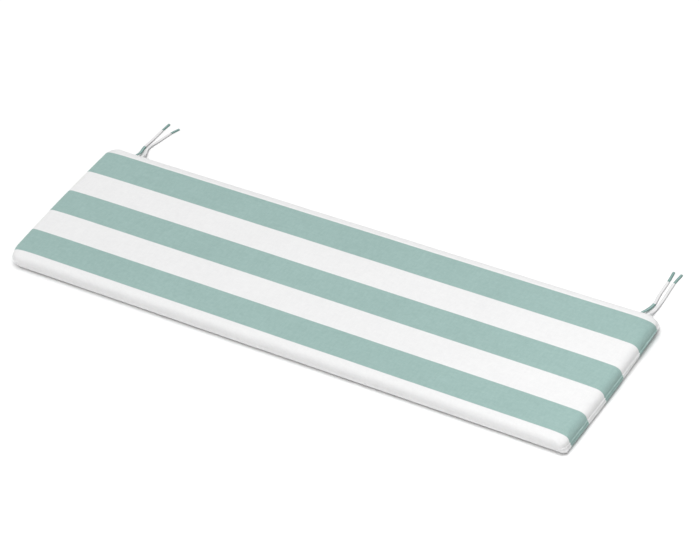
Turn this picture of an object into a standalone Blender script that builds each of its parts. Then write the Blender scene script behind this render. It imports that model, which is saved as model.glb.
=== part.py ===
"""A long, slim bench cushion with two pairs of tie tapes at its back edge.

Metres, +Z up. The cushion lies on its underside. X runs along its length, Y from the front edge to the
back edge, and the origin is the middle of the underside.
"""

import math

import bmesh
import bpy
from mathutils import Vector

# Driving dimensions
LENGTH = 1.80            # between the middles of the short sides
WIDTH = 0.50             # between the middles of the long sides
THICKNESS = 0.050        # underside to the crown
SEAM_HEIGHT = 0.021      # the seam that joins the upper and lower panels
CROWN = 0.0025           # rise of the upper panel from the top of its shoulder to the middle

UPPER_SHOULDER = 0.030   # how far in the upper panel curves before it is almost level
SHOULDER_FULLNESS = 0.8  # 1 makes that curve a quarter of an ellipse, less makes it fuller
LOWER_ROLL = 0.005       # radius at the foot of the lower panel, where it turns under
UNDER_LIFT = 0.007       # the underside is this high at its edge
UNDER_REACH = 0.050      # and lies flat from this inset on
SEAM_RIDGE = 0.0014      # the seam stands this far out of the filled side
SEAM_RIDGE_HALF = 0.0024  # half the height of that ridge
END_RIDGE = 0.0020       # the seam stands out this much more at the short ends

# Radius of the seam's corners, seen from above, anticlockwise from the right end of the back.
CORNER_RADII = (
    0.034,  # back right
    0.026,  # back left
    0.040,  # front left
    0.022,  # front right
)
FOOT_RADII = (0.019, 0.014, 0.032, 0.012)  # the same four corners at the foot
CORNER_GROWTH = 1.5      # over the seam the corner radius grows by this share of the inset
CORNER_MOST = 0.75       # and stays under this share of half the width left
DRAW_IN = 0.0020         # the long seams stand this far inside the line between two corners
LONG_SIDE_POWER = 12     # that waist is even along the side and turns out near the corners
END_BOW = 0.0040         # the left end, and the right end's foot, stand this far outside it
RIGHT_BOW = 0.0015       # the right end's seam stands this far outside it
RIGHT_SLANT = 0.0075     # and its front corner stands this far inside the back one
RIGHT_LEAN = 0.0024      # the lower panel leans in this much at the right end
LEFT_LEAN = 0.0080       # and this much at the left end
SIDES_FADE = 0.09        # the upper panel has lost the waist and the bows at this inset

TIE_WIDTH = 0.0100       # folded and stitched tape
TIE_THICKNESS = 0.0024
TIE_EDGE = 0.0007        # rounding of the tape's folded edges
TIE_FLOOR_GAP = 0.0005   # the loose end stays this far over the plane of the underside
TIE_SEAM_GAP = 0.0006    # from the tape's sewn end to the seam ridge

# Rings of the mesh
LONG_STEPS = 24
SHORT_STEPS = 12
CORNER_STEPS = 5
UPPER_STEPS = 8
LOWER_STEPS = 4
WALL_STEPS = 2
UNDER_STEPS = 3
CROWN_INSETS = (0.045, 0.065, 0.095, 0.130)
CROWN_REACH = 0.035      # the crown levels out over about this length

TIE_STEPS = 30

GREEN_CLOTH = (0.36, 0.52, 0.49, 1.0)
TAPE_CLOTH = (0.78, 0.82, 0.80, 1.0)

# Each tie: where its sewn end stands along the back seam.
TIE_ROOTS = {
    "tie_right_outer": 0.8466,
    "tie_right_inner": 0.8297,
    "tie_left_inner": -0.7928,
    "tie_left_outer": -0.8122,
}

# The way each tie lies. Columns: sideways from its root, out from the seam, height of the tape's middle.
FLOOR = TIE_THICKNESS / 2 + TIE_FLOOR_GAP
TIE_ROUTES = {
    "tie_right_outer": (
        (0.000, 0.012, SEAM_HEIGHT - 0.002),
        (0.001, 0.034, SEAM_HEIGHT - 0.014),
        (0.002, 0.055, FLOOR + 0.002),
        (0.001, 0.095, FLOOR),
        (-0.002, 0.150, FLOOR),
        (0.001, 0.194, FLOOR),
    ),
    "tie_right_inner": (
        (0.000, 0.012, SEAM_HEIGHT - 0.002),
        (0.001, 0.036, SEAM_HEIGHT - 0.013),
        (0.005, 0.064, FLOOR + 0.002),
        (0.000, 0.105, FLOOR),
        (-0.002, 0.155, FLOOR),
        (-0.006, 0.195, FLOOR),
    ),
    "tie_left_inner": (
        (-0.003, 0.012, SEAM_HEIGHT - 0.002),
        (-0.012, 0.036, SEAM_HEIGHT - 0.014),
        (-0.022, 0.064, FLOOR + 0.002),
        (-0.012, 0.105, FLOOR),
        (0.001, 0.147, FLOOR),
        (0.013, 0.171, FLOOR),
    ),
    "tie_left_outer": (
        (-0.003, 0.012, SEAM_HEIGHT - 0.002),
        (-0.010, 0.036, SEAM_HEIGHT - 0.014),
        (-0.016, 0.064, FLOOR + 0.002),
        (-0.014, 0.105, FLOOR),
        (-0.012, 0.147, FLOOR),
        (-0.009, 0.179, FLOOR),
    ),
}


def clear_scene():
    for old in list(bpy.data.objects):
        bpy.data.objects.remove(old, do_unlink=True)


def cloth_material(name, colour, roughness):
    material = bpy.data.materials.new(name)
    material.use_nodes = True
    shader = material.node_tree.nodes["Principled BSDF"]
    shader.inputs["Base Color"].default_value = colour
    shader.inputs["Roughness"].default_value = roughness
    shader.inputs["Metallic"].default_value = 0.0
    return material


def mid_share(position, straight, power):
    """1 in the middle of a side and 0 at its corners."""
    return 1.0 - min(1.0, abs(position) / straight) ** power


def eased_steps(count):
    """Numbers from -1 to 1 that lie closer together near both ends."""
    return [math.sin(math.pi * (i / count - 0.5)) for i in range(count + 1)]


def corner_arc(corner, half_x, half_y, radius):
    """Points round one corner, with the direction in which each one faces."""
    turn = corner * math.pi / 2
    middle_x = (1, -1, -1, 1)[corner] * (half_x - radius)
    middle_y = (1, 1, -1, -1)[corner] * (half_y - radius)
    arc = []
    for step in range(CORNER_STEPS + 1):
        angle = turn + math.pi / 2 * step / CORNER_STEPS
        face = (math.cos(angle), math.sin(angle))
        arc.append((middle_x + radius * face[0], middle_y + radius * face[1], face))
    return arc


def outline(inset, below, lip):
    """Points of a round-cornered oblong, with the direction in which each one faces.

    below is 0 from the seam up and grows to 1 at the foot; lip is 1 at the seam only.
    """
    half_x = LENGTH / 2 - END_RIDGE * (1.0 - lip) - inset
    half_y = WIDTH / 2 + DRAW_IN - inset
    right_in = RIGHT_LEAN * below
    left_in = END_BOW + LEFT_LEAN * below
    arcs = []
    for corner, seam_radius in enumerate(CORNER_RADII):
        radius = seam_radius + CORNER_GROWTH * inset
        radius += (FOOT_RADII[corner] - radius) * below
        radius = min(radius, CORNER_MOST * half_y)
        end_x = half_x - (right_in, left_in, left_in, right_in)[corner]
        arcs.append(corner_arc(corner, end_x, half_y, radius))
    points = []
    for corner, arc in enumerate(arcs):
        start_x, start_y, face = arc[-1]
        end_x, end_y, _ = arcs[(corner + 1) % 4][0]
        points.extend(arc)
        for place in eased_steps(LONG_STEPS if corner in (0, 2) else SHORT_STEPS)[1:-1]:
            share = (1 + place) / 2
            points.append((start_x + (end_x - start_x) * share, start_y + (end_y - start_y) * share, face))
    return points


def ring(inset, height, lip=0.0):
    """One level of the cushion: the outline at an inset, its long sides drawn in and its ends bowed."""
    foot_top = UNDER_LIFT + LOWER_ROLL
    below = min(1.0, max(0.0, (SEAM_HEIGHT - height) / (SEAM_HEIGHT - foot_top)))
    share = max(0.0, 1.0 - inset / SIDES_FADE)
    above = (1.0 - below) * share
    straight_x = LENGTH / 2 - CORNER_RADII[0] - inset
    straight_y = WIDTH / 2 - CORNER_RADII[0] - inset
    placed = []
    for x, y, face in outline(inset, below, lip):
        middle = mid_share(y, straight_y, 2)
        bow = END_BOW * middle * share
        if face[0] > 0:
            slant = RIGHT_SLANT * (0.5 - y / WIDTH)
            bow = (RIGHT_BOW * middle - slant) * above + END_BOW * middle * below
        waist = DRAW_IN * mid_share(x, straight_x, LONG_SIDE_POWER) * above
        placed.append(Vector((x + bow * face[0], y - waist * face[1], height)))
    return placed


def crown_rise(inset):
    """Rise past the shoulder: steep at first, then levelling out."""
    past = inset - SEAM_RIDGE - UPPER_SHOULDER
    return 1.0 - math.exp(-past / CROWN_REACH)


def cushion_rings():
    """Rings from the edge of the flat underside, up round the seam, to the crown."""
    shoulder_top = THICKNESS - CROWN
    foot = SEAM_RIDGE + LOWER_ROLL
    rings = []
    for step in range(UNDER_STEPS):
        share = step / UNDER_STEPS
        rings.append(ring(UNDER_REACH + (foot - UNDER_REACH) * share, UNDER_LIFT * share ** 2))
    for step in range(LOWER_STEPS + 1):
        angle = math.pi / 2 * (1 - step / LOWER_STEPS)
        height = UNDER_LIFT + LOWER_ROLL * (1 - math.sin(angle))
        rings.append(ring(foot - LOWER_ROLL * math.cos(angle), height))
    wall_foot = UNDER_LIFT + LOWER_ROLL
    wall_top = SEAM_HEIGHT - SEAM_RIDGE_HALF
    for step in range(1, WALL_STEPS + 1):
        share = step / WALL_STEPS
        rings.append(ring(SEAM_RIDGE, wall_foot + (wall_top - wall_foot) * share))
    rings.append(ring(0.0, SEAM_HEIGHT, lip=1.0))
    base = SEAM_HEIGHT + SEAM_RIDGE_HALF
    for step in range(UPPER_STEPS + 1):
        angle = math.pi / 2 * step / UPPER_STEPS
        inward = 1 - max(0.0, math.cos(angle)) ** SHOULDER_FULLNESS
        upward = math.sin(angle) ** SHOULDER_FULLNESS
        height = base + (shoulder_top - base) * upward
        rings.append(ring(SEAM_RIDGE + UPPER_SHOULDER * inward, height))
    level_rise = crown_rise(CROWN_INSETS[-1])
    for inset in CROWN_INSETS:
        rings.append(ring(inset, shoulder_top + CROWN * crown_rise(inset) / level_rise))
    return rings


def closed_loft(name, rings, material):
    """One closed body through rings of equal count, with its first and last ring capped."""
    mesh = bpy.data.meshes.new(name)
    body = bmesh.new()
    loops = [[body.verts.new(point) for point in level] for level in rings]
    for lower, upper in zip(loops, loops[1:]):
        count = len(lower)
        for i in range(count):
            j = (i + 1) % count
            body.faces.new((lower[i], lower[j], upper[j], upper[i]))
    body.faces.new(list(reversed(loops[0])))
    body.faces.new(loops[-1])
    bmesh.ops.recalc_face_normals(body, faces=body.faces)
    body.to_mesh(mesh)
    body.free()
    mesh.shade_smooth()
    mesh.set_sharp_from_angle(angle=math.radians(40))
    mesh.materials.append(material)
    made = bpy.data.objects.new(name, mesh)
    bpy.context.scene.collection.objects.link(made)
    return made


def back_seam(x):
    """Y of the ridge of the back seam."""
    straight = LENGTH / 2 - CORNER_RADII[0]
    return WIDTH / 2 + DRAW_IN * (1.0 - mid_share(x, straight, LONG_SIDE_POWER))


def smooth_way(points, count):
    """A Catmull-Rom curve through the points, read at equal steps."""
    ends = [points[0] * 2 - points[1]] + list(points) + [points[-1] * 2 - points[-2]]
    spans = len(points) - 1
    way = []
    for step in range(count + 1):
        place = spans * step / count
        span = min(int(place), spans - 1)
        t = place - span
        a, b, c, d = ends[span:span + 4]
        bend = 2 * b + (c - a) * t + (2 * a - 5 * b + 4 * c - d) * t * t
        way.append((bend + (3 * b - a - 3 * c + d) * t ** 3) / 2)
    return way


def tape_section():
    """The tape's section, rounded at the folded edges: sideways, and along its thickness."""
    side = TIE_WIDTH / 2
    face = TIE_THICKNESS / 2
    return (
        (side, face - TIE_EDGE),
        (side - TIE_EDGE, face),
        (-side + TIE_EDGE, face),
        (-side, face - TIE_EDGE),
        (-side, TIE_EDGE - face),
        (-side + TIE_EDGE, -face),
        (side - TIE_EDGE, -face),
        (side, TIE_EDGE - face),
    )


def tie(name, material):
    root_x = TIE_ROOTS[name]
    start = Vector((root_x, back_seam(root_x) + TIE_SEAM_GAP, SEAM_HEIGHT))
    stops = [start]
    for sideways, outwards, height in TIE_ROUTES[name]:
        stops.append(Vector((root_x + sideways, start.y + outwards, height)))
    way = smooth_way(stops, TIE_STEPS)
    rings = []
    for i, point in enumerate(way):
        ahead = way[min(i + 1, TIE_STEPS)] - way[max(i - 1, 0)]
        if i == 0:
            ahead = Vector((0, 1, 0))
        ahead.normalize()
        across = ahead.cross(Vector((0, 0, 1))).normalized()
        upright = across.cross(ahead).normalized()
        rings.append([point + across * side + upright * up for side, up in tape_section()])
    return closed_loft(name, rings, material)


def build():
    clear_scene()
    cloth = cloth_material("striped_cloth", GREEN_CLOTH, 0.85)
    closed_loft("cushion", cushion_rings(), cloth)
    for name in TIE_ROOTS:
        tape = cloth_material(name + "_tape", TAPE_CLOTH, 0.85)
        tie(name, tape)


build()
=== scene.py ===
import math

import bmesh
import bpy
from mathutils import Matrix, Vector, noise
from mathutils.kdtree import KDTree


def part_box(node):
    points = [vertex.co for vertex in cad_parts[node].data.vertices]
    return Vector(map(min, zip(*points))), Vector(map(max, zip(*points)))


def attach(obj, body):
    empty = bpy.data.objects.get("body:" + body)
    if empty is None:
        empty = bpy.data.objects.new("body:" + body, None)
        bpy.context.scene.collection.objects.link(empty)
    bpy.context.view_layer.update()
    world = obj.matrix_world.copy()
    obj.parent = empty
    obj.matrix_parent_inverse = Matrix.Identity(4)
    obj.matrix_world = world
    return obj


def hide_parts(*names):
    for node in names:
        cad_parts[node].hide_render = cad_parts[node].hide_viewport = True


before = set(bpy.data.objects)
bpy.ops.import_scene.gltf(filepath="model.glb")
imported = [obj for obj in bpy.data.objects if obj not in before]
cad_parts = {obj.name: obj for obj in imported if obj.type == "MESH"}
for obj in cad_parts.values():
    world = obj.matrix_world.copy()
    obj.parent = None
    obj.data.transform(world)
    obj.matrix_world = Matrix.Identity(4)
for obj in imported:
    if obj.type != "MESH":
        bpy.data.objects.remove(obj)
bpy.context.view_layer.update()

BODY = "root"
MM = 0.001
IMAGE_WIDTH = 700

# --- Sizes of the cushion, from model.glb and from its make ----------------------------------------

low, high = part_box("cushion")

# The outline, seen from above
DRAW_IN = 2.0 * MM         # the long sides stand this far inside the line between two corners
LONG_SIDE_POWER = 12       # and reach that depth soon after each corner
LENGTH = high.x - low.x
WIDTH = high.y - low.y - 2 * DRAW_IN
END_BOW = 4.0 * MM         # the left end, and the right end's foot, swell out this much in the middle
RIGHT_BOW = 1.5 * MM       # the right end's seam swells out this much
RIGHT_SLANT = 7.5 * MM     # and its front corner stands this far inside the back one
RIGHT_LEAN = 2.4 * MM      # the lower panel leans in this much at the right end
LEFT_LEAN = 8.0 * MM       # and this much at the left end
SIDES_FADE = 90 * MM       # over the seam, bow and draw-in die out towards this inset

# Its corners, anticlockwise from the back right: the way each lies, and its radius at the seam and the foot
CORNERS = (
    {"side": (1, 1), "seam_radius": 34 * MM, "foot_radius": 19 * MM},
    {"side": (-1, 1), "seam_radius": 26 * MM, "foot_radius": 14 * MM},
    {"side": (-1, -1), "seam_radius": 40 * MM, "foot_radius": 32 * MM},
    {"side": (1, -1), "seam_radius": 22 * MM, "foot_radius": 12 * MM},
)
CORNER_GROWTH = 1.5        # a corner's radius grows by this much of the inset
CORNER_MOST = 0.75         # up to this share of half the ring's width
SIDE_MARGIN = 34 * MM      # a side's bow or draw-in ends this far before the cushion does

# The section, from the underside up
THICKNESS = high.z - low.z
UNDER_REACH = 50 * MM      # the underside lies flat from this inset on
UNDER_LIFT = 7.0 * MM      # and rises this high at its edge
LOWER_ROLL = 5 * MM        # radius of the foot, where the lower panel turns under
FOOT_TOP = UNDER_LIFT + LOWER_ROLL
WALL_BULGE = 0.8 * MM      # the lower panel is this full between the foot and the seam
SEAM_HEIGHT = 21 * MM      # the seam that joins the upper and lower panels
RIDGE_HALF = 3.0 * MM      # the smooth cloth starts this far above and below it
SEAM_RIDGE = 1.4 * MM      # its two pressed lips stand this far out
LIP_HEIGHT = 1.9 * MM      # the upper one ends this far above the seam
END_RIDGE = 2.0 * MM       # and stands out this much more at the short ends
STITCH_DEPTH = 1.2 * MM    # the stitch line lies this deep between the lips
UPPER_SHOULDER = 30 * MM
SHOULDER_FULLNESS = 0.8    # under 1 the shoulder is fuller than an ellipse
CROWN = 2.5 * MM           # rise of the top from its shoulders to its middle
CROWN_REACH = 35 * MM      # most of it within about this far
MIDDLE_INSET = WIDTH / 2 - 3 * MM

# The lips and the stitch line, from below. Columns: inset from the upper lip, level above the seam.
SEAM_SECTION = (
    (0.5 * MM, -1.6 * MM),
    (0.4 * MM, -1.0 * MM),
    (STITCH_DEPTH, -0.4 * MM),
    (0.3 * MM, 0.0),
    (0.0, 0.7 * MM),
    (0.2 * MM, 1.4 * MM),
    (SEAM_RIDGE, LIP_HEIGHT),
)
END_RIDGE_FROM = -0.1 * MM  # the short ends' ridge takes up the rows between these two levels
END_RIDGE_TO = 1.6 * MM

# How finely the skin is drawn
ALONG_STEPS = 260
ACROSS_STEPS = 90
CORNER_STEPS = 40
SHOULDER_STEPS = 14
WALL_STEPS = 6
UNDER_STEPS = 6
FLAT_STEP = 9 * MM

# The filling's pressure on the cover
PUFFED_SHARE = 0.35        # this much of the crown comes from it
NET_SIZE = 6 * MM          # mesh of the even net that is blown up
NEIGHBOURS = 6             # a point of the skin moves as this many of the net's points around it do
SETTLE_FRAMES = 20
MOST_MOVE = 3.5 * MM       # and no further than this
COVER_CLOTH = {
    "quality": 4,
    "mass": 0.15,
    "tension_stiffness": 60.0,
    "compression_stiffness": 30.0,
    "bending_stiffness": 2.0,
    "use_pressure": True,
    "uniform_pressure_force": 4.0,
    "vertex_group_mass": "held",
}

# The sewing's marks on the cover
GATHER_HEIGHT = 0.35 * MM  # small gathers along the seam
GATHER_REACH = 5 * MM      # that are highest this far from it
FOLD_HEIGHT = 0.8 * MM     # larger folds that fan out from each corner
FAN_MIDDLE = 40 * MM       # from a point this far inside both sides
FAN_MARGIN = 8 * MM        # or from a little before it
FAN_REACH = 46 * MM        # grow to their full height at this distance
FAN_WIDTH = 0.62           # and die away over this angle, in radians, to each side
FOLD_TURNS = 21.0          # the greater, the closer they follow each other

# Stripe edges across the width, from the front to the back, where green begins or ends
STRIPE_EDGES = (-222.0 * MM, -136.4 * MM, -50.8 * MM, 38.8 * MM, 126.4 * MM, 220.0 * MM)
STRIPE_SOFTNESS = 0.9 * MM
LIP_SOFTNESS = 0.6 * MM
THREAD_PITCH = 1.1 * MM

# --- Sizes of the ties -----------------------------------------------------------------------------

TIE_WIDTH = 10 * MM
TIE_THICKNESS = 2.4 * MM
TIE_SEAM_GAP = 0.6 * MM
FLOOR_GAP = 0.5 * MM
TIE_FLOOR = TIE_THICKNESS / 2 + FLOOR_GAP
TIE_SOFTNESS = 0.8 * MM    # over which green gives way to white
TIE_THREAD_PITCH = 1.0 * MM
STITCH_PITCH = 3.2 * MM
TIE_STEPS = 260
TIE_SIDES = 28
FROM_THE_SEAM = -1.0       # an edge well before the sewn end

# Each tie: its sewn end along the back seam, where green gives way to white and back, out from the seam, and
# the way it lies. Columns: sideways from the sewn end, out from the seam, height of the tape's middle.
TIES = {
    "tie_right_outer": {
        "root": 846.6 * MM,
        "white_from": FROM_THE_SEAM,
        "white_to": 156 * MM,
        "route": (
            (0.000, 0.012, SEAM_HEIGHT - 0.002),
            (0.001, 0.034, SEAM_HEIGHT - 0.014),
            (0.002, 0.055, TIE_FLOOR + 0.002),
            (0.001, 0.095, TIE_FLOOR),
            (-0.002, 0.150, TIE_FLOOR),
            (0.001, 0.194, TIE_FLOOR),
        ),
    },
    "tie_right_inner": {
        "root": 829.7 * MM,
        "white_from": 66 * MM,
        "white_to": 156 * MM,
        "route": (
            (0.000, 0.012, SEAM_HEIGHT - 0.002),
            (0.001, 0.036, SEAM_HEIGHT - 0.013),
            (0.005, 0.064, TIE_FLOOR + 0.002),
            (0.000, 0.105, TIE_FLOOR),
            (-0.002, 0.155, TIE_FLOOR),
            (-0.006, 0.195, TIE_FLOOR),
        ),
    },
    "tie_left_inner": {
        "root": -792.8 * MM,
        "white_from": FROM_THE_SEAM,
        "white_to": 146 * MM,
        "route": (
            (-0.003, 0.012, SEAM_HEIGHT - 0.002),
            (-0.012, 0.036, SEAM_HEIGHT - 0.014),
            (-0.022, 0.064, TIE_FLOOR + 0.002),
            (-0.012, 0.105, TIE_FLOOR),
            (0.001, 0.147, TIE_FLOOR),
            (0.013, 0.171, TIE_FLOOR),
        ),
    },
    "tie_left_outer": {
        "root": -812.2 * MM,
        "white_from": 66 * MM,
        "white_to": 148 * MM,
        "route": (
            (-0.003, 0.012, SEAM_HEIGHT - 0.002),
            (-0.010, 0.036, SEAM_HEIGHT - 0.014),
            (-0.016, 0.064, TIE_FLOOR + 0.002),
            (-0.014, 0.105, TIE_FLOOR),
            (-0.012, 0.147, TIE_FLOOR),
            (-0.009, 0.179, TIE_FLOOR),
        ),
    },
}

# --- Colours, as light reflected -------------------------------------------------------------------

GREEN = (0.298, 0.428, 0.404)
GREEN_DEEP = (0.262, 0.384, 0.361)
GREEN_LIP_HIGHLIGHT = (0.46, 0.61, 0.58)    # painted highlight on the seam's upper lip at the short ends, on green stripes
GREEN_EDGE_SHADE = (0.110, 0.215, 0.195)    # painted shade along the tapes' edges; the green tips are also darkened a little towards it
WHITE = (0.735, 0.735, 0.735)
WHITE_SHADE = (0.700, 0.700, 0.702)
# painted highlight on the seam's upper lip at the short ends, on white stripes
WHITE_LIP_HIGHLIGHT = (0.88, 0.88, 0.88)
# painted shade along the edges of the tapes' white parts
WHITE_EDGE_SHADE = (0.35, 0.34, 0.35)
FLOOR_WHITE = (0.88, 0.88, 0.88)


# --- Shader writing --------------------------------------------------------------------------------


class Strand:
    """One shader socket that takes part in plain arithmetic."""

    def __init__(self, loom, socket):
        self.loom = loom
        self.socket = socket

    def __add__(self, other):
        return self.loom.sum("ADD", self, other)

    def __radd__(self, other):
        return self.loom.sum("ADD", other, self)

    def __sub__(self, other):
        return self.loom.sum("SUBTRACT", self, other)

    def __rsub__(self, other):
        return self.loom.sum("SUBTRACT", other, self)

    def __mul__(self, other):
        return self.loom.sum("MULTIPLY", self, other)

    def __rmul__(self, other):
        return self.loom.sum("MULTIPLY", other, self)

    def __truediv__(self, other):
        return self.loom.sum("DIVIDE", self, other)

    def __rtruediv__(self, other):
        return self.loom.sum("DIVIDE", other, self)

    def within(self, least=0.0, most=1.0):
        return self.loom.node("ShaderNodeClamp", {}, {"Value": self, "Min": least, "Max": most})


class Loom:
    """A material whose nodes are written as expressions."""

    def __init__(self, name):
        self.material = bpy.data.materials.new(name)
        self.material.use_nodes = True
        self.tree = self.material.node_tree
        self.shader = self.tree.nodes["Principled BSDF"]

    def node(self, kind, settings, sockets, out=0):
        """One node: its settings first, then what goes into its sockets. out names one output or several."""
        made = self.tree.nodes.new(kind)
        for key, value in settings.items():
            setattr(made, key, value)
        for place, value in sockets.items():
            self.plug(made.inputs[place], value)
        if isinstance(out, tuple):
            return [Strand(self, made.outputs[one]) for one in out]
        return Strand(self, made.outputs[out])

    def plug(self, socket, value):
        if isinstance(value, Strand):
            self.tree.links.new(value.socket, socket)
        else:
            socket.default_value = value

    def sum(self, operation, first, second):
        return self.node("ShaderNodeMath", {"operation": operation}, {0: first, 1: second})

    def wave(self, angle):
        return self.node("ShaderNodeMath", {"operation": "SINE"}, {0: angle})

    def size_of(self, value):
        return self.node("ShaderNodeMath", {"operation": "ABSOLUTE"}, {0: value})

    def blend(self, share, first, second):
        """A colour between two."""
        ends = [(*c, 1.0) if isinstance(c, tuple) else c for c in (first, second)]
        return self.node("ShaderNodeMix", {"data_type": "RGBA"}, {0: share, 6: ends[0], 7: ends[1]}, out=2)

    def place(self):
        """The point on the piece, in metres, and its three parts."""
        point = self.node("ShaderNodeTexCoord", {}, {}, out="Object")
        return point, *self.node("ShaderNodeSeparateXYZ", {}, {0: point}, out=(0, 1, 2))

    def stretched(self, point, scale):
        return self.node("ShaderNodeVectorMath", {"operation": "MULTIPLY"}, {0: point, 1: scale})

    def cloudy(self, point, scale, detail=2.0):
        """Soft noise from 0 to 1."""
        return self.node("ShaderNodeTexNoise", {}, {"Vector": point, "Scale": scale, "Detail": detail})

    def streaky(self, point, scale, squeeze, detail=2.0):
        """Soft noise drawn out along the threads of both directions."""
        along = self.cloudy(self.stretched(point, (squeeze, 1.0, 1.0)), scale, detail)
        across = self.cloudy(self.stretched(point, (1.0, squeeze, 1.0)), scale, detail)
        return along * 0.5 + across * 0.5

    def raised(self, relief, strength, height):
        sockets = {"Height": relief, "Strength": strength, "Distance": height}
        return self.node("ShaderNodeBump", {}, sockets, out="Normal")

    def finish_with(self, sockets):
        for name, value in sockets.items():
            self.plug(self.shader.inputs[name], value)
        return self.material


def after(position, edge, softness):
    """0 before an edge and 1 past it."""
    return ((position - edge) / softness + 0.5).within()


def green_share(y):
    """1 on the green stripes of the cloth and 0 on the white ones."""
    share = 0.0
    for i, edge in enumerate(STRIPE_EDGES):
        sign = 1.0 if i % 2 == 0 else -1.0
        share = share + after(y, edge, STRIPE_SOFTNESS) * sign
    return share


def lip_highlight_share(loom, point, x, z):
    """Up to 1 where a highlight is painted on the seam's upper lip at both short ends, broken up unevenly by
    noise.
    """
    at_end = after(loom.size_of(x), LENGTH / 2 - 20 * MM, 8 * MM)
    on_lip = after(z, SEAM_HEIGHT, LIP_SOFTNESS) - after(z, SEAM_HEIGHT + LIP_HEIGHT, LIP_SOFTNESS)
    broken_up = (loom.cloudy(point, 38.0, 1.0) * 1.6 - 0.3).within(0.2, 1.0)
    return on_lip * at_end * broken_up


def weave_relief(loom, x, y, z):
    """The threads of the plain weave, over and under each other."""
    turns = 2.0 * math.pi / THREAD_PITCH
    over = loom.wave(x * turns)
    under = loom.wave((y + z * 0.7) * turns)
    return over * under * 0.5 + 0.5


def woven_cloth():
    """The cover's cloth: dyed in stripes, with slubs, flecks and soft patches of shade, and a painted
    highlight on the seam's upper lip at the short ends.
    """
    loom = Loom("striped_cloth")
    point, x, y, z = loom.place()
    slub = loom.streaky(point, 430.0, 0.22)
    fleck = loom.streaky(point, 150.0, 0.35, 3.0)
    patch = loom.cloudy(point, 7.0, 3.0)
    shade = (slub - 0.5) * 1.7 + (fleck - 0.5) * 2.6 + (patch - 0.5) * 0.8 + 0.5
    green = loom.blend(shade.within(), GREEN, GREEN_DEEP)
    white = loom.blend(shade.within(), WHITE, WHITE_SHADE)
    dyed = green_share(y)
    flat = loom.blend(dyed, white, green)
    # the painted highlight's colour for the seam's upper lip
    lip_highlight = loom.blend(dyed, WHITE_LIP_HIGHLIGHT, GREEN_LIP_HIGHLIGHT)
    relief = weave_relief(loom, x, y, z) * 0.6 + slub * 0.8
    return loom.finish_with({
        "Base Color": loom.blend(lip_highlight_share(loom, point, x, z), flat, lip_highlight),
        "Roughness": 0.86 + (slub - 0.5) * 0.12,
        "Normal": loom.raised(relief, 0.35, 0.25 * MM),
        "Sheen Weight": 0.12,
        "Sheen Roughness": 0.5,
        "Specular IOR Level": 0.25,
    })


def tape_cloth(name, seam_y, white_from, white_to):
    """The same cloth, cut across its stripes and folded into a tape, with painted shade along both edges and
    its green tip darkened a little.
    """
    loom = Loom(name)
    point, x, y, _ = loom.place()
    slub = loom.cloudy(loom.stretched(point, (1.0, 0.3, 1.0)), 700.0)
    across = loom.node("ShaderNodeAttribute", {"attribute_name": "across"}, {}, out="Fac")
    # painted shade along both edges of the tape, wider on its right side
    right_edge_shade = after(across, 0.60, 0.5)
    left_edge_shade = after(across * -1.0, 0.50, 0.5)
    tip = after(y, seam_y + white_to, TIE_SOFTNESS)
    green_edge_shade = (right_edge_shade + left_edge_shade + tip * 0.25).within(0.0, 0.95)
    green = loom.blend(green_edge_shade, loom.blend(slub, GREEN, GREEN_DEEP), GREEN_EDGE_SHADE)
    # the painted shade on the white right edge is lighter near the seam and grows along the tape
    edge_shade_strength = after(y, seam_y + 30 * MM, 40 * MM) * 0.45 + 0.30
    white_edge_shade = right_edge_shade * edge_shade_strength + left_edge_shade * 0.2
    white = loom.blend(white_edge_shade, loom.blend(slub, WHITE, WHITE_SHADE), WHITE_EDGE_SHADE)
    white_share = (after(y, seam_y + white_from, TIE_SOFTNESS) - tip).within()
    turns = 2.0 * math.pi / TIE_THREAD_PITCH
    relief = loom.wave(x * turns) * loom.wave(y * turns) + slub
    return loom.finish_with({
        "Base Color": loom.blend(white_share, green, white),
        "Roughness": 0.84 + slub * 0.08,
        "Normal": loom.raised(relief, 0.3, 0.2 * MM),
        "Sheen Weight": 0.1,
        "Specular IOR Level": 0.25,
    })


def plain_floor():
    loom = Loom("studio_floor")
    point = loom.place()[0]
    grain = loom.cloudy(point, 3.0)
    return loom.finish_with({
        "Base Color": (*FLOOR_WHITE, 1.0),
        "Roughness": 0.9 + (grain - 0.5) * 0.05,
        "Specular IOR Level": 0.1,
    })


# --- Skins -----------------------------------------------------------------------------------------


def bridge(skin, loops):
    """Joins each ring of points to the next with four-sided faces."""
    for lower, upper in zip(loops, loops[1:]):
        for i in range(len(lower)):
            j = (i + 1) % len(lower)
            skin.faces.new((lower[i], lower[j], upper[j], upper[i]))


def made_up(skin, name):
    """The finished skin as an object, its faces turned out and shaded smooth."""
    bmesh.ops.recalc_face_normals(skin, faces=skin.faces)
    mesh = bpy.data.meshes.new(name)
    skin.to_mesh(mesh)
    skin.free()
    mesh.shade_smooth()
    piece = bpy.data.objects.new(name, mesh)
    bpy.context.scene.collection.objects.link(piece)
    return piece


# --- The cushion's outline -------------------------------------------------------------------------


def mid_share(position, straight, power):
    """1 in the middle of a side and 0 at its corners."""
    return 1.0 - min(1.0, abs(position) / straight) ** power


def eased_steps(count):
    """Numbers from -1 to 1 that lie a little closer together near both ends."""
    even = [2.0 * i / count - 1.0 for i in range(count + 1)]
    return [0.72 * t + 0.28 * math.sin(math.pi / 2 * t) for t in even]


def corner_arc(corner, half_x, half_y, radius):
    """Points round one corner, with their facings."""
    side_x, side_y = CORNERS[corner]["side"]
    middle = Vector((side_x * (half_x - radius), side_y * (half_y - radius), 0.0))
    arc = []
    for step in range(CORNER_STEPS + 1):
        angle = corner * math.pi / 2 + math.pi / 2 * step / CORNER_STEPS
        face = Vector((math.cos(angle), math.sin(angle), 0.0))
        arc.append((middle + face * radius, face))
    return arc


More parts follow.
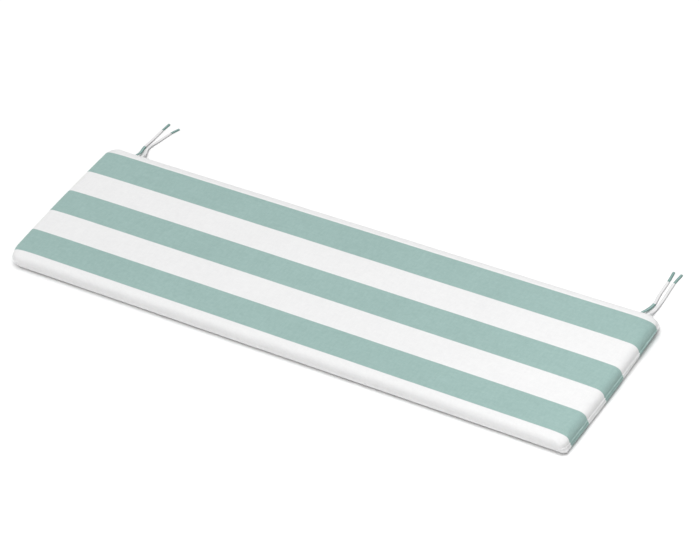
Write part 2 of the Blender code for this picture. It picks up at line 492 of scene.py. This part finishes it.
def outline(inset, below, lip):
    """Points of a round-cornered oblong and their facings.

    below is 0 from the seam up and grows to 1 at the foot; lip is 1 on the seam's upper lip only.
    """
    half_x = LENGTH / 2 - END_RIDGE * (1.0 - lip) - inset
    half_y = WIDTH / 2 + DRAW_IN - inset
    arcs = []
    for corner, facts in enumerate(CORNERS):
        radius = facts["seam_radius"] + CORNER_GROWTH * inset
        radius += (facts["foot_radius"] - radius) * below
        radius = min(radius, CORNER_MOST * half_y)
        at_right = facts["side"][0] > 0
        leaned = RIGHT_LEAN * below if at_right else END_BOW + LEFT_LEAN * below
        arcs.append(corner_arc(corner, half_x - leaned, half_y, radius))
    points = []
    for corner, arc in enumerate(arcs):
        start, face = arc[-1]
        end = arcs[(corner + 1) % 4][0][0]
        points.extend(arc)
        for place in eased_steps(ALONG_STEPS if corner in (0, 2) else ACROSS_STEPS)[1:-1]:
            points.append((start.lerp(end, (1 + place) / 2), face))
    return points


def ring(inset, height):
    """One level of the cushion: the outline at an inset, its long sides drawn in and its ends bowed."""
    below = min(1.0, max(0.0, (SEAM_HEIGHT - height) / (SEAM_HEIGHT - FOOT_TOP)))
    lip = 1.0 if END_RIDGE_FROM < height - SEAM_HEIGHT < END_RIDGE_TO else 0.0
    share = max(0.0, 1.0 - inset / SIDES_FADE)
    above = (1.0 - below) * share
    straight_x = LENGTH / 2 - SIDE_MARGIN - inset
    straight_y = WIDTH / 2 - SIDE_MARGIN - inset
    placed = []
    for point, face in outline(inset, below, lip):
        middle = mid_share(point.y, straight_y, 2)
        bow = END_BOW * middle * share
        if face.x > 0:
            slant = RIGHT_SLANT * (0.5 - point.y / WIDTH)
            bow = (RIGHT_BOW * middle - slant) * above + END_BOW * middle * below
        waist = DRAW_IN * mid_share(point.x, straight_x, LONG_SIDE_POWER) * above
        placed.append(Vector((point.x + bow * face.x, point.y - waist * face.y, height)))
    return placed


# --- The cushion's section, as rows of inset and height --------------------------------------------


def underside_rows():
    """The flat of the underside, from its middle outwards, then its rise to the foot."""
    foot = SEAM_RIDGE + LOWER_ROLL
    rows = []
    inset = MIDDLE_INSET
    while inset > UNDER_REACH:
        rows.append((inset, 0.0))
        inset -= FLAT_STEP * 2
    for step in range(UNDER_STEPS):
        share = step / UNDER_STEPS
        rows.append((UNDER_REACH + (foot - UNDER_REACH) * share, UNDER_LIFT * share ** 2))
    return rows


def foot_rows():
    """The quarter round from the underside to the lower panel."""
    foot = SEAM_RIDGE + LOWER_ROLL
    rows = []
    for step in range(SHOULDER_STEPS + 1):
        angle = math.pi / 2 * (1 - step / SHOULDER_STEPS)
        height = UNDER_LIFT + LOWER_ROLL * (1 - math.sin(angle))
        rows.append((foot - LOWER_ROLL * math.cos(angle), height))
    return rows


def lower_panel_rows():
    wall_top = SEAM_HEIGHT - RIDGE_HALF
    rows = []
    for step in range(1, WALL_STEPS + 1):
        share = step / WALL_STEPS
        bulge = WALL_BULGE * math.sin(math.pi * share)
        rows.append((SEAM_RIDGE - bulge, FOOT_TOP + (wall_top - FOOT_TOP) * share))
    return rows


def seam_rows():
    return [(inset, SEAM_HEIGHT + level) for inset, level in SEAM_SECTION]


def shoulder_rows():
    base = SEAM_HEIGHT + RIDGE_HALF
    top = THICKNESS - CROWN
    rows = []
    for step in range(SHOULDER_STEPS + 1):
        angle = math.pi / 2 * step / SHOULDER_STEPS
        inward = 1 - max(0.0, math.cos(angle)) ** SHOULDER_FULLNESS
        upward = math.sin(angle) ** SHOULDER_FULLNESS
        rows.append((SEAM_RIDGE + UPPER_SHOULDER * inward, base + (top - base) * upward))
    return rows


def top_rows(crown):
    """The sitting face, rising to its crown."""
    top = THICKNESS - CROWN
    rows = []
    inset = SEAM_RIDGE + UPPER_SHOULDER
    while inset < MIDDLE_INSET - FLAT_STEP:
        inset += FLAT_STEP
        past = max(0.0, inset - SEAM_RIDGE - UPPER_SHOULDER)
        rows.append((inset, top + crown * (1.0 - math.exp(-past / CROWN_REACH))))
    return rows


def cover_skin(name, crown):
    """The cushion's skin: rings up its section that close on a line along the middle of each face."""
    rows = underside_rows() + foot_rows() + lower_panel_rows() + seam_rows() + shoulder_rows()
    rows += top_rows(crown)
    skin = bmesh.new()
    loops = []
    for inset, height in rows:
        loops.append([skin.verts.new(point) for point in ring(inset, height)])
    bridge(skin, loops)
    close_on_line(skin, loops[0], True)
    close_on_line(skin, loops[-1], False)
    return made_up(skin, name)


def close_on_line(skin, loop, turned):
    """Joins the two long sides of the last, very slim ring."""
    arc = CORNER_STEPS + 1
    back_start = arc - 1
    front_start = arc + ALONG_STEPS - 1 + arc + ACROSS_STEPS - 1 + arc - 1
    back = [loop[(back_start + i) % len(loop)] for i in range(ALONG_STEPS + 1)]
    front = [loop[(front_start + ALONG_STEPS - i) % len(loop)] for i in range(ALONG_STEPS + 1)]
    faces = []
    for i in range(ALONG_STEPS):
        faces.append((back[i], back[i + 1], front[i + 1], front[i]))
    right_end = range(front_start + ALONG_STEPS, len(loop) + back_start + 1)
    left_end = range(back_start + ALONG_STEPS, front_start + 1)
    for end in (right_end, left_end):
        faces.append(tuple(loop[i % len(loop)] for i in end))
    for face in faces:
        skin.faces.new(tuple(reversed(face)) if turned else face)


# --- The filling's pressure ------------------------------------------------------------------------


def seam_distance(point):
    """How far a point is from the seam, and where along it the nearest place is."""
    from_x = LENGTH / 2 - abs(point.x)
    from_y = WIDTH / 2 + DRAW_IN - abs(point.y)
    level = abs(point.z - SEAM_HEIGHT)
    along = point.x if from_y < from_x else point.y + LENGTH
    return math.hypot(max(0.0, min(from_x, from_y)), level), along


def is_held(point):
    """The seam, and the underside, which lies on the floor."""
    at_seam_level = abs(point.z - SEAM_HEIGHT) < 4 * MM
    return point.z < 1.5 * MM or (at_seam_level and seam_distance(point)[0] < 12 * MM)


def even_net(skin):
    """A net of even mesh over the skin."""
    net = skin.copy()
    net.data = skin.data.copy()
    bpy.context.scene.collection.objects.link(net)
    evener = net.modifiers.new("even_net", "REMESH")
    evener.mode = "VOXEL"
    evener.voxel_size = NET_SIZE
    graph = bpy.context.evaluated_depsgraph_get()
    net.data = bpy.data.meshes.new_from_object(net.evaluated_get(graph))
    net.modifiers.clear()
    return net


def settled_cover(skin):
    """The cover blown up by its filling: the net's rest points and their moves."""
    net = even_net(skin)
    rest = [vertex.co.copy() for vertex in net.data.vertices]
    held = net.vertex_groups.new(name="held")
    held.add([i for i, point in enumerate(rest) if is_held(point)], 1.0, "REPLACE")
    cloth = net.modifiers.new("cover", "CLOTH")
    for setting, value in COVER_CLOTH.items():
        setattr(cloth.settings, setting, value)
    cloth.settings.effector_weights.gravity = 0.0
    cloth.point_cache.frame_end = SETTLE_FRAMES
    for number in range(1, SETTLE_FRAMES + 1):
        bpy.context.scene.frame_set(number)
    graph = bpy.context.evaluated_depsgraph_get()
    settled = net.evaluated_get(graph).data
    moves = [vertex.co - start for vertex, start in zip(settled.vertices, rest)]
    bpy.data.objects.remove(net, do_unlink=True)
    bpy.context.scene.frame_set(1)
    return rest, moves


def blow_up(piece):
    """Carries the settled cover's moves over to the skin, scaled so that the crown gets its last share."""
    rest, moves = settled_cover(piece)
    rises = sorted(move.z for move in moves)
    scale = CROWN * PUFFED_SHARE / rises[int(len(rises) * 0.98)]
    tree = KDTree(len(rest))
    for i, point in enumerate(rest):
        tree.insert(point, i)
    tree.balance()
    for vertex in piece.data.vertices:
        total = Vector((0.0, 0.0, 0.0))
        weights = 0.0
        for _, i, distance in tree.find_n(vertex.co, NEIGHBOURS):
            weight = 1.0 / (distance + 1 * MM)
            total += moves[i] * weight
            weights += weight
        move = total * (scale / weights)
        vertex.co += move * min(1.0, MOST_MOVE / max(move.length, MOST_MOVE))
    piece.data.update()


# --- The sewing's marks ----------------------------------------------------------------------------


def seam_gather(distance, along, side):
    """Small gathers along the seam, different above and below it."""
    ripple = noise.noise(Vector((along * 62.0, side * 9.0, 0.0)))
    fade = (distance / GATHER_REACH) * math.exp(1.0 - distance / GATHER_REACH)
    return GATHER_HEIGHT * ripple * fade


def corner_fold(point, distance, side):
    """Larger folds that fan out from each corner and die away from the seam."""
    middle = Vector((LENGTH / 2 - END_BOW - FAN_MIDDLE, WIDTH / 2 - FAN_MIDDLE))
    away = Vector((abs(point.x), abs(point.y))) - middle
    if away.x <= -FAN_MARGIN or away.y <= -FAN_MARGIN:
        return 0.0
    angle = math.atan2(away.y, away.x)
    reach = min(1.0, away.length / FAN_REACH)
    fan = math.exp(-((angle - math.pi / 4) / FAN_WIDTH) ** 2) * reach ** 3
    corner = math.copysign(2.0, point.x) + math.copysign(5.0, point.y)
    uneven = noise.noise(Vector((angle * 7.0, side, corner)))
    fold = math.sin(angle * FOLD_TURNS + corner + side) + 0.7 * uneven
    fade = math.exp(-max(0.0, distance - 14 * MM) / (12 * MM))
    near_seam = min(1.0, distance / (4 * MM)) * fade
    return FOLD_HEIGHT * fold * fan * near_seam


def foam_unevenness(point):
    """The slow rise and fall of foam under cloth."""
    slow = noise.noise(Vector((point.x * 5.0, point.y * 7.0, point.z * 4.0)))
    quick = noise.noise(Vector((point.x * 17.0, point.y * 19.0, 3.0)))
    return (0.35 * slow + 0.12 * quick) * MM


def work_surface(piece):
    """Moves each point of the skin along its facing, less and less towards the floor."""
    mesh = piece.data
    facings = [vertex.normal.copy() for vertex in mesh.vertices]
    for vertex, facing in zip(mesh.vertices, facings):
        point = vertex.co.copy()
        distance, along = seam_distance(point)
        side = 1.0 if point.z > SEAM_HEIGHT else 2.0
        pucker = seam_gather(distance, along, side) + corner_fold(point, distance, side)
        share = min(1.0, point.z / (8 * MM))
        vertex.co = point + facing * (pucker + foam_unevenness(point)) * share
    mesh.update()


def make_cushion():
    crown = CROWN * (1.0 - PUFFED_SHARE)
    cushion = cover_skin("cushion_cover", crown)
    blow_up(cushion)
    work_surface(cushion)
    cushion.data.materials.append(woven_cloth())
    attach(cushion, BODY)
    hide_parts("cushion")


# --- The ties --------------------------------------------------------------------------------------


def back_seam(x):
    """Where the back seam lies, at a place along it."""
    straight = LENGTH / 2 - SIDE_MARGIN
    return WIDTH / 2 + DRAW_IN * (1.0 - mid_share(x, straight, LONG_SIDE_POWER))


def smooth_way(points, count):
    """A smooth curve through the points, read at equal steps."""
    ends = [points[0] * 2 - points[1]] + list(points) + [points[-1] * 2 - points[-2]]
    spans = len(points) - 1
    way = []
    for step in range(count + 1):
        place = spans * step / count
        span = min(int(place), spans - 1)
        t = place - span
        a, b, c, d = ends[span:span + 4]
        bend = 2 * b + (c - a) * t + (2 * a - 5 * b + 4 * c - d) * t * t
        way.append((bend + (3 * b - a - 3 * c + d) * t ** 3) / 2)
    return way


def tape_section(travelled):
    """The folded tape's section: two plump folds with the stitched valley nearer one edge."""
    half = TIE_WIDTH / 2
    thick = TIE_THICKNESS / 2
    stitch_place = 0.42 * half
    bite = 0.30 * MM + 0.14 * MM * math.sin(travelled * 2 * math.pi / STITCH_PITCH)
    section = []
    for i in range(TIE_SIDES):
        angle = 2 * math.pi * i / TIE_SIDES
        side = math.copysign(abs(math.cos(angle)) ** 0.55, math.cos(angle)) * half
        up = math.copysign(abs(math.sin(angle)) ** 0.75, math.sin(angle)) * thick
        valley = math.exp(-((side - stitch_place) / (0.75 * MM)) ** 2) * bite
        section.append((side, up - math.copysign(valley, up)))
    return section


def width_share(travelled, tip_from):
    """A tape is drawn narrower at the seam and again at its tip."""
    drawn_in = 0.75 + 0.25 * min(1.0, travelled / (25 * MM))
    return drawn_in * (0.90 if travelled < tip_from else 0.74)


def tie_stops(facts):
    """The sewn end and the stops of the route, as points."""
    root_x = facts["root"]
    start = Vector((root_x, back_seam(root_x) + TIE_SEAM_GAP, SEAM_HEIGHT))
    stops = [start]
    for sideways, outwards, height in facts["route"]:
        stops.append(Vector((root_x + sideways, start.y + outwards, height)))
    return stops


def tape_skin(name, way, tip_from):
    """The tape along its way. Also gives its length and how far across the tape each point lies."""
    skin = bmesh.new()
    loops = []
    across_shares = []
    travelled = 0.0
    for i, point in enumerate(way):
        ahead = Vector((0, 1, 0))
        if i > 0:
            ahead = way[min(i + 1, TIE_STEPS)] - way[i - 1]
            travelled += (point - way[i - 1]).length
        ahead.normalize()
        across = ahead.cross(Vector((0, 0, 1))).normalized()
        upright = across.cross(ahead).normalized()
        rounded = min(1.0, (TIE_STEPS - i) / 3.0 + 0.55)
        width = rounded * width_share(travelled, tip_from)
        loop = []
        for side, up in tape_section(travelled):
            across_shares.append(side * 2 / TIE_WIDTH)
            loop.append(skin.verts.new(point + across * side * width + upright * up * rounded))
        loops.append(loop)
    bridge(skin, loops)
    skin.faces.new(list(reversed(loops[0])))
    skin.faces.new(loops[-1])
    return made_up(skin, name), travelled, across_shares


def make_tie(name, facts):
    stops = tie_stops(facts)
    way = smooth_way(stops, TIE_STEPS)
    tie, length, across_shares = tape_skin(name + "_tape", way, facts["white_to"])
    tie.data.attributes.new("across", "FLOAT", "POINT").data.foreach_set("value", across_shares)
    cloth = tape_cloth(name + "_cloth", stops[0].y, facts["white_from"], facts["white_to"])
    tie.data.materials.append(cloth)
    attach(tie, BODY)
    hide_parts(name)


# --- The studio ------------------------------------------------------------------------------------

CAMERA = {
    "azimuth": 40.95,
    "elevation": 41.82,
    "roll": -12.12,
    "distance": 7.7397,
    "aim": Vector((0.0350, 0.0796, 0.0)),
    "focal_px": 2879.2,
    "sensor": 36.0,
}
FLOOR_REACH = 14.0
FLOOR_LEVEL = -0.3 * MM
AIR_LIGHT = 0.32


def camera_axes():
    """The camera's right, up and backward directions."""
    azimuth = math.radians(CAMERA["azimuth"])
    elevation = math.radians(CAMERA["elevation"])
    roll = math.radians(CAMERA["roll"])
    back = Vector((
        math.sin(azimuth) * math.cos(elevation),
        -math.cos(azimuth) * math.cos(elevation),
        math.sin(elevation),
    ))
    level = Vector((math.cos(azimuth), math.sin(azimuth), 0.0))
    upright = back.cross(level)
    right = level * math.cos(roll) + upright * math.sin(roll)
    up = upright * math.cos(roll) - level * math.sin(roll)
    return right, up, back


def make_camera():
    right, up, back = camera_axes()
    data = bpy.data.cameras.new("studio_camera")
    data.sensor_width = CAMERA["sensor"]
    data.lens = CAMERA["focal_px"] * CAMERA["sensor"] / IMAGE_WIDTH
    data.clip_end = 50.0
    camera = bpy.data.objects.new("studio_camera", data)
    turn = Matrix((right, up, back)).transposed().to_4x4()
    camera.matrix_world = Matrix.Translation(CAMERA["aim"] + back * CAMERA["distance"]) @ turn
    bpy.context.scene.collection.objects.link(camera)
    bpy.context.scene.camera = camera


def make_floor():
    mesh = bpy.data.meshes.new("studio_floor")
    ground = bmesh.new()
    bmesh.ops.create_grid(ground, x_segments=1, y_segments=1, size=FLOOR_REACH)
    ground.to_mesh(mesh)
    ground.free()
    floor = bpy.data.objects.new("studio_floor", mesh)
    floor.location.z = FLOOR_LEVEL
    bpy.context.scene.collection.objects.link(floor)
    mesh.materials.append(plain_floor())


def hang(name, data, place, aim):
    """Hangs a lamp at a place and turns it towards its aim."""
    lamp = bpy.data.objects.new(name, data)
    lamp.location = place
    lamp.rotation_mode = "QUATERNION"
    lamp.rotation_quaternion = (Vector(aim) - Vector(place)).to_track_quat("-Z", "Y")
    bpy.context.scene.collection.objects.link(lamp)


def wide_light(name, direction, spread, strength):
    """Light from a broad patch of ceiling or wall, the same over the whole floor."""
    data = bpy.data.lights.new(name, "SUN")
    data.energy = strength
    data.angle = math.radians(spread)
    hang(name, data, direction, (0.0, 0.0, 0.0))


def soft_box(name, place, aim, size, power):
    """A round lamp that lights the right half a little more."""
    data = bpy.data.lights.new(name, "AREA")
    data.shape = "DISK"
    data.size = size
    data.energy = power
    hang(name, data, place, aim)


def soft_spot(name, place, aim, cone, power):
    """A pool of light that fades from its middle outwards."""
    data = bpy.data.lights.new(name, "SPOT")
    data.spot_size = math.radians(cone)
    data.spot_blend = 1.0
    data.shadow_soft_size = 0.3
    data.energy = power
    hang(name, data, place, aim)


def light_studio():
    scene = bpy.context.scene
    scene.view_settings.view_transform = "Standard"
    world = bpy.data.worlds.new("studio_air")
    world.use_nodes = True
    air = world.node_tree.nodes["Background"]
    air.inputs["Color"].default_value = (1.0, 1.0, 1.0, 1.0)
    air.inputs["Strength"].default_value = AIR_LIGHT
    scene.world = world
    wide_light("ceiling", direction=(-0.03, 0.02, 1.0), spread=70.0, strength=2.52)
    wide_light("front_fill", direction=(0.0, -1.0, 0.15), spread=30.0, strength=0.80)
    soft_box("right_hand", place=(1.05, -0.25, 1.7), aim=(0.95, -0.1, 0.0), size=0.9, power=4.5)
    soft_spot("right_end", place=(1.00, -0.20, 3.0), aim=(0.96, -0.06, 0.0), cone=13.5, power=24.0)


make_camera()
make_cushion()
for tie_name, tie_facts in TIES.items():
    make_tie(tie_name, tie_facts)
make_floor()
light_studio()
